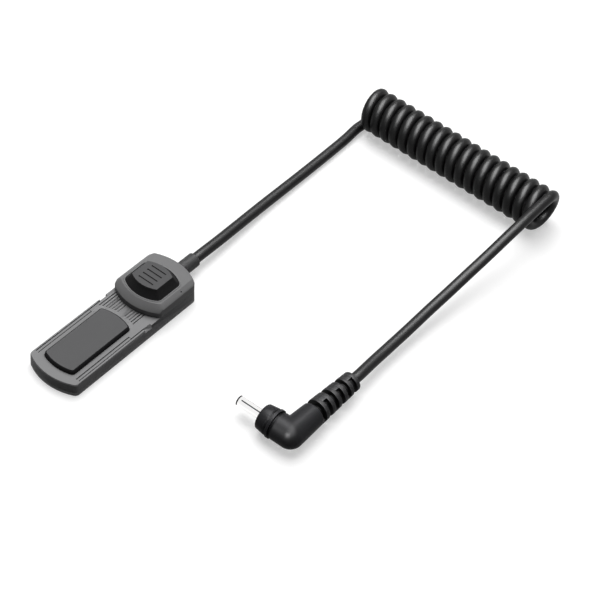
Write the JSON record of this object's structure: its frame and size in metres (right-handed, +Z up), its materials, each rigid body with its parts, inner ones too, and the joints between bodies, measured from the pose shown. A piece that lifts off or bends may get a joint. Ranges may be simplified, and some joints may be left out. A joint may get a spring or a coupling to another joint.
{
  "type": "wired remote release",
  "caption": "Flat two-button wired remote release with a curly lead that ends in a right-angle barrel plug.",
  "frame": {"origin": "on the surface that the casing rests on, under the middle of the casing", "axes": "+X along the casing towards the lead, +Z up from the floor"},
  "size_m": [0.172, 0.086, 0.0161],
  "materials": {
    "grey_shell": "fine satin texture",
    "pad_plastic": "fine satin texture",
    "button_plastic": "fine satin texture",
    "cover_plastic": "fine satin texture",
    "lead_rubber": "satin",
    "plug_plastic": "satin",
    "nickel": "polished",
    "brass": "satin",
    "steel": "satin",
    "gasket_rubber": "matt",
    "board": "satin",
    "switch_plastic": "matt",
    "plunger_plastic": "matt",
    "wire_red": "satin",
    "wire_black": "satin"
  },
  "bodies": {
    "casing": {"base_cover": "cover_plastic", "gasket": "gasket_rubber", "frame": "grey_shell", "rear_housing": "grey_shell", "circuit_board": "board", "front_switch": "switch_plastic", "middle_switch": "switch_plastic", "rear_switch": "switch_plastic", "cover_screws": "steel", "cord_clip": "steel", "signal_wire": "wire_red", "ground_wire": "wire_black", "strain_relief": "lead_rubber", "cord_to_coil": "lead_rubber", "cord_coil": "lead_rubber", "cord_to_plug": "lead_rubber", "plug_relief": "lead_rubber", "plug_body": "plug_plastic", "plug_head": "plug_plastic", "plug_barrel": "nickel", "plug_insulator": "plug_plastic", "plug_contact": "brass"},
    "pad": {"front_pad": "pad_plastic"},
    "button": {"rear_button": "button_plastic"},
    "front_push": {"front_plunger": "plunger_plastic"},
    "middle_push": {"middle_plunger": "plunger_plastic"},
    "rear_push": {"rear_plunger": "plunger_plastic"}
  },
  "joints": [
    {"name": "pad_press", "type": "slide", "parent": "casing", "child": "pad", "axis": [0, 0, -1], "range_m": [0, 0.0005], "stiffness_N_per_m": 400},
    {"name": "button_press", "type": "slide", "parent": "casing", "child": "button", "axis": [0, 0, -1], "range_m": [0, 0.0008], "stiffness_N_per_m": 400},
    {"name": "front_push_in", "type": "slide", "parent": "casing", "child": "front_push", "axis": [0, 0, -1], "range_m": [0, 0.0005]},
    {"name": "middle_push_in", "type": "slide", "parent": "casing", "child": "middle_push", "axis": [0, 0, -1], "range_m": [0, 0.0005]},
    {"name": "rear_push_in", "type": "slide", "parent": "casing", "child": "rear_push", "axis": [0, 0, -1], "range_m": [0, 0.0008]}
  ],
  "couplings": [
    {"joint": "front_push_in", "follows": "pad_press", "ratio": 1},
    {"joint": "middle_push_in", "follows": "pad_press", "ratio": 1},
    {"joint": "rear_push_in", "follows": "button_press", "ratio": 1}
  ]
}
